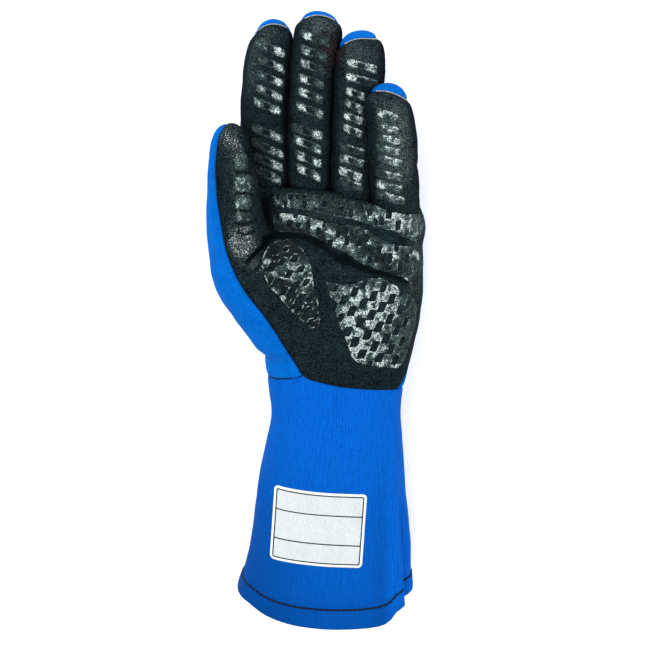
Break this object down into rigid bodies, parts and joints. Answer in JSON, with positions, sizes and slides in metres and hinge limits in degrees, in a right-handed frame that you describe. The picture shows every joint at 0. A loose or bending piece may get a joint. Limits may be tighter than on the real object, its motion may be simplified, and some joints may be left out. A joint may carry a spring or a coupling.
{
  "type": "racing glove",
  "caption": "Long-cuff racing glove for the left hand, in blue knit with a black suede palm, silicone grips and a ruled cuff label.",
  "frame": {"origin": "the flat of the hand's back where the glove rests, under the middle of the palm", "axes": "+Y towards the fingertips, +Z out of the palm, +X towards the side of the little finger"},
  "size_m": [0.115, 0.3353, 0.0609],
  "materials": {
    "blue_knit": "matte",
    "blue_shell": "matte",
    "black_suede": "matte",
    "silicone": "satin",
    "label_cloth": "satin"
  },
  "bodies": {
    "root": {"cuff": "blue_knit", "thumb_front": "black_suede", "index_front": "black_suede", "middle_front": "black_suede", "ring_front": "black_suede", "little_front": "black_suede", "palm_panel": "black_suede", "back_panel": "blue_shell", "upper_band_grip": "silicone", "lower_band_grip": "silicone", "thenar_grip": "silicone", "hypothenar_grip": "silicone", "index_grip_1": "silicone", "index_grip_2": "silicone", "index_grip_3": "silicone", "index_grip_4": "silicone", "index_grip_5": "silicone", "index_grip_6": "silicone", "index_grip_7": "silicone", "index_grip_8": "silicone", "index_grip_9": "silicone", "middle_grip_1": "silicone", "middle_grip_2": "silicone", "middle_grip_3": "silicone", "middle_grip_4": "silicone", "middle_grip_5": "silicone", "middle_grip_6": "silicone", "middle_grip_7": "silicone", "middle_grip_8": "silicone", "middle_grip_9": "silicone", "middle_grip_10": "silicone", "ring_grip_1": "silicone", "ring_grip_2": "silicone", "ring_grip_3": "silicone", "ring_grip_4": "silicone", "ring_grip_5": "silicone", "ring_grip_6": "silicone", "ring_grip_7": "silicone", "ring_grip_8": "silicone", "ring_grip_9": "silicone", "ring_grip_10": "silicone", "little_grip_1": "silicone", "little_grip_2": "silicone", "little_grip_3": "silicone", "little_grip_4": "silicone", "little_grip_5": "silicone", "little_grip_6": "silicone", "little_grip_7": "silicone", "little_grip_8": "silicone", "thumb_grip_1": "silicone", "thumb_grip_2": "silicone", "thumb_grip_3": "silicone", "thumb_grip_4": "silicone", "label": "label_cloth"}
  },
  "joints": []
}
